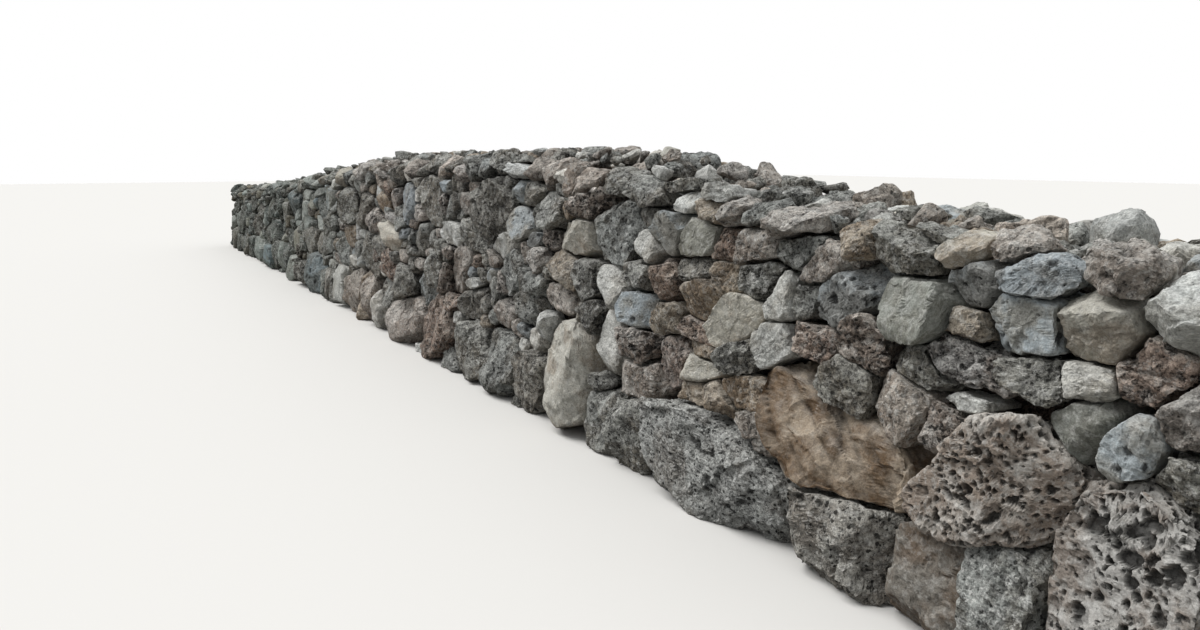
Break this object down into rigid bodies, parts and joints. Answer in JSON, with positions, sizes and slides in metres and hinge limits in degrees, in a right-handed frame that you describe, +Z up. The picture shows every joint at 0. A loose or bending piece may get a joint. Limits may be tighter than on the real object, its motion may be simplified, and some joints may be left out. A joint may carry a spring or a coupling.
{
  "type": "dry stone field wall",
  "caption": "Long double-faced rubble wall laid without mortar, with big footing boulders, leaning faces and a rough top.",
  "frame": {"origin": "on the ground, in the middle of the wall's length and width", "axes": "+X along the wall towards the end nearest the camera, -Y out of the front face, +Z up"},
  "size_m": [18, 1.28, 1.7458],
  "materials": {
    "boulders": "weathered limestone, pitted and honeycombed, grey to tan",
    "facing_stones": "rough weathered limestone, grey, cream and soil-stained tan",
    "hearting": "small rubble, in shadow, stained by soil",
    "top_stones": "loose weathered limestone, pale, with warm small rubble between"
  },
  "bodies": {
    "root": {"bay_1_front_footing": "boulders", "bay_1_back_footing": "boulders", "bay_1_front_facing": "facing_stones", "bay_1_back_facing": "facing_stones", "bay_1_hearting": "hearting", "bay_1_top_stones": "top_stones", "bay_2_front_footing": "boulders", "bay_2_back_footing": "boulders", "bay_2_front_facing": "facing_stones", "bay_2_back_facing": "facing_stones", "bay_2_hearting": "hearting", "bay_2_top_stones": "top_stones", "bay_3_front_footing": "boulders", "bay_3_back_footing": "boulders", "bay_3_front_facing": "facing_stones", "bay_3_back_facing": "facing_stones", "bay_3_hearting": "hearting", "bay_3_top_stones": "top_stones", "bay_4_front_footing": "boulders", "bay_4_back_footing": "boulders", "bay_4_front_facing": "facing_stones", "bay_4_back_facing": "facing_stones", "bay_4_hearting": "hearting", "bay_4_top_stones": "top_stones", "bay_5_front_footing": "boulders", "bay_5_back_footing": "boulders", "bay_5_front_facing": "facing_stones", "bay_5_back_facing": "facing_stones", "bay_5_hearting": "hearting", "bay_5_top_stones": "top_stones", "bay_6_front_footing": "boulders", "bay_6_back_footing": "boulders", "bay_6_front_facing": "facing_stones", "bay_6_back_facing": "facing_stones", "bay_6_hearting": "hearting", "bay_6_top_stones": "top_stones"}
  },
  "joints": []
}
